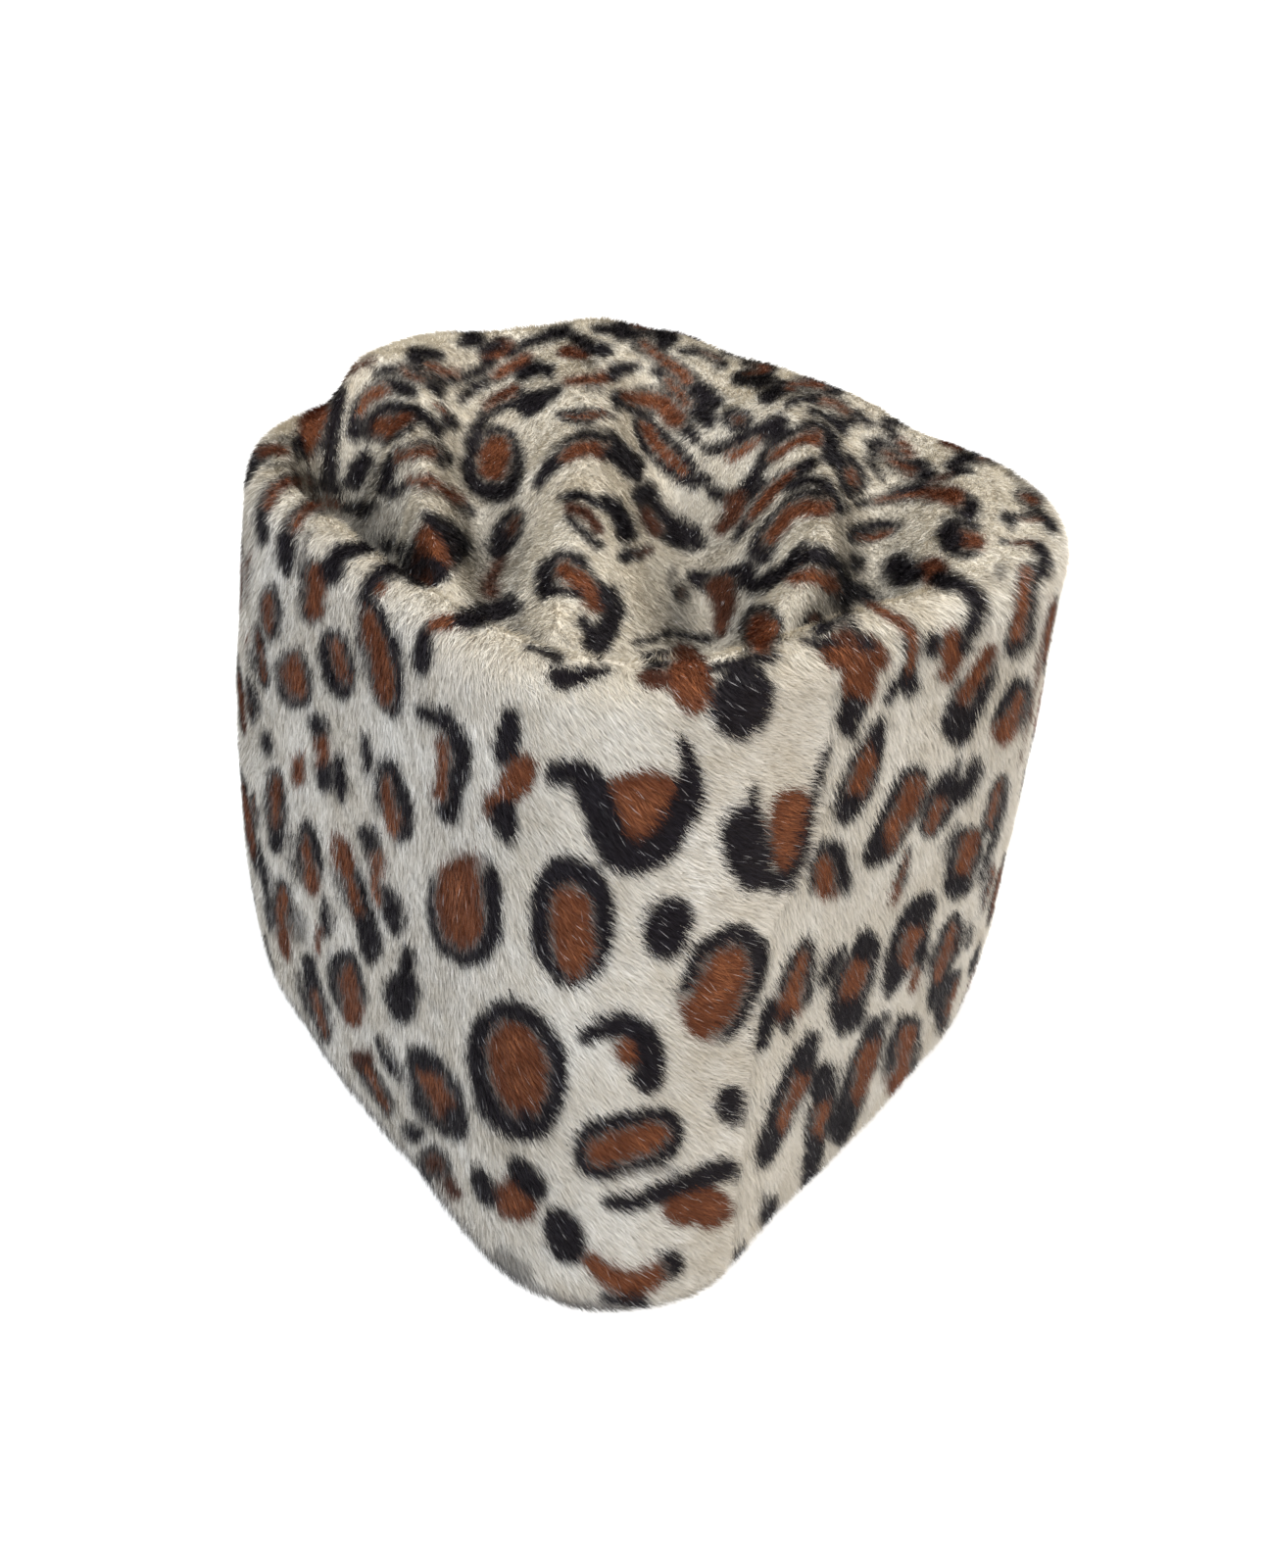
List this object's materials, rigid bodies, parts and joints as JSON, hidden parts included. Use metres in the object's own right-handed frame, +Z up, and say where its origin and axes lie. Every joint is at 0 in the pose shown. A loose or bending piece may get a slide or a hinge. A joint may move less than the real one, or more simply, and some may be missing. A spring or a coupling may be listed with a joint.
{
  "type": "soft brimless kufi hat",
  "caption": "Tall soft brimless cap of leopard-print plush with a rounded rim and a folded, sunken crown, standing on its hem.",
  "frame": {"origin": "under the middle of the cap, on the surface it stands on", "axes": "+Z up, the narrow front of the cap towards -Y, +X to the right seen from the front"},
  "size_m": [0.1778, 0.2161, 0.1325],
  "materials": {
    "band_plush": "short lying pile, leopard print",
    "crown_plush": "short lying pile, leopard print",
    "hem_cloth": "plain woven backing"
  },
  "bodies": {
    "root": {"band": "band_plush", "crown": "crown_plush", "hem": "hem_cloth"}
  },
  "joints": []
}
